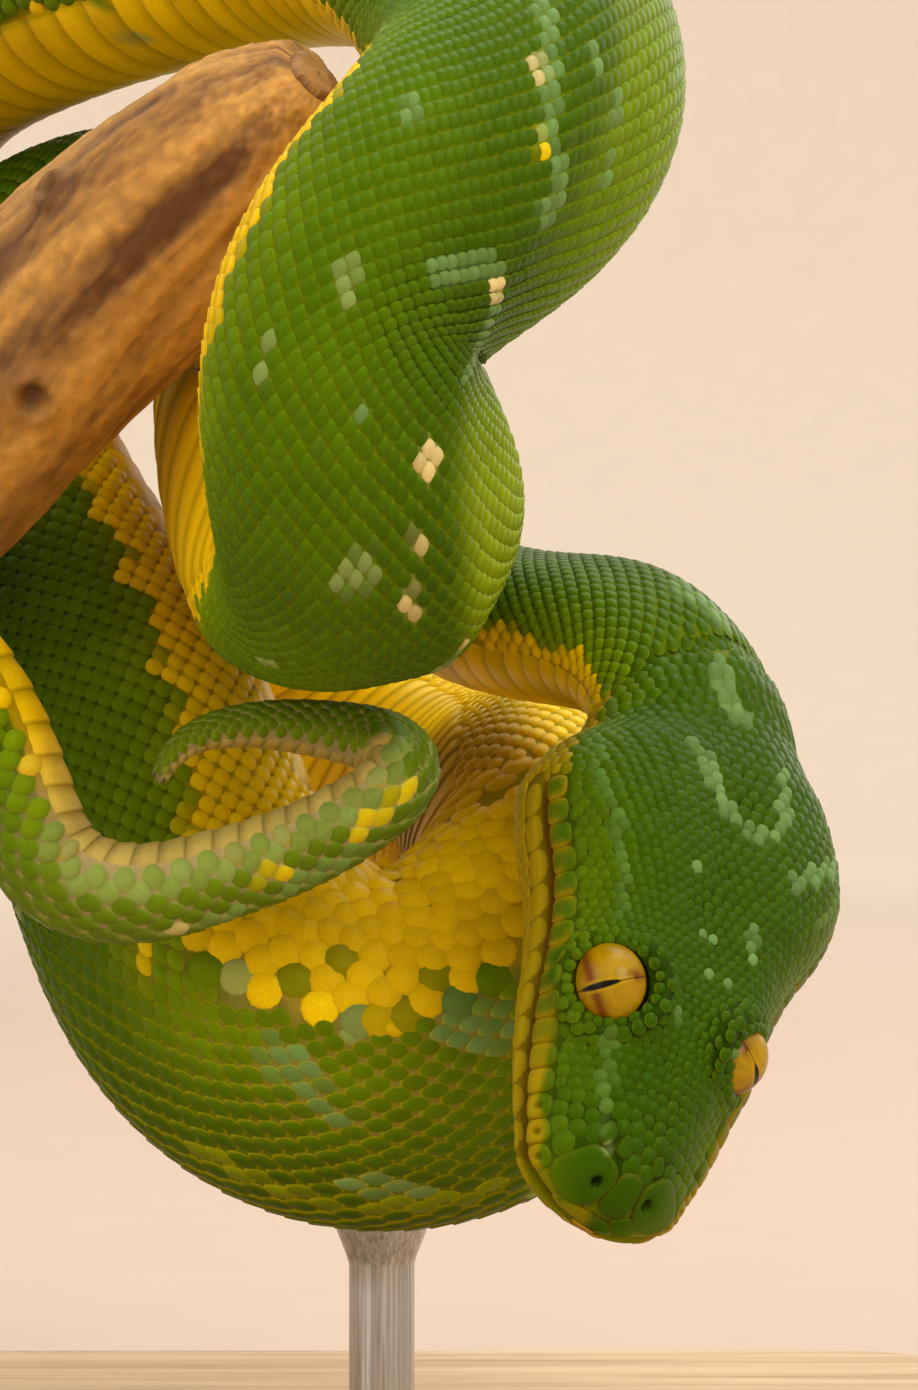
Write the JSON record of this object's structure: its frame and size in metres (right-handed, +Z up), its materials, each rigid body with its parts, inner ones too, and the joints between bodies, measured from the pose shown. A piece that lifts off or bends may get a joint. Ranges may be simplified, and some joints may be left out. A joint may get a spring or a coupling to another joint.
{
  "type": "green tree python",
  "caption": "Life-size still model of a green tree python draped over the stub of a branch, head hanging down in front of its lower loop, held by a flat base with upright rods.",
  "frame": {"origin": "middle of the stand base's underside", "axes": "+Z up, +X to the right as seen from the front, -Y towards the front, where the head hangs"},
  "size_m": [0.2046, 0.184, 0.2007],
  "materials": {
    "skin": "satin scaled skin, leaf green with a yellow belly and blue-grey and cream marks",
    "eye": "glossy, golden iris with an upright slit pupil",
    "bark": "matt tan bark, paler where it is cut",
    "base": "satin oiled pale wood",
    "steel": "brushed"
  },
  "bodies": {
    "root": {"head": "skin", "lower_jaw": "skin", "neck": "skin", "trunk_1": "skin", "trunk_2": "skin", "trunk_3": "skin", "trunk_4": "skin", "trunk_5": "skin", "trunk_6": "skin", "trunk_7": "skin", "trunk_8": "skin", "trunk_9": "skin", "trunk_10": "skin", "trunk_11": "skin", "trunk_12": "skin", "trunk_13": "skin", "trunk_14": "skin", "trunk_15": "skin", "trunk_16": "skin", "trunk_17": "skin", "tail_base": "skin", "tail": "skin", "tail_tip": "skin", "eye_left": "eye", "eye_right": "eye", "perch_branch": "bark", "stand_base": "base", "stand_post_perch": "steel", "stand_post_body": "steel"}
  },
  "joints": []
}
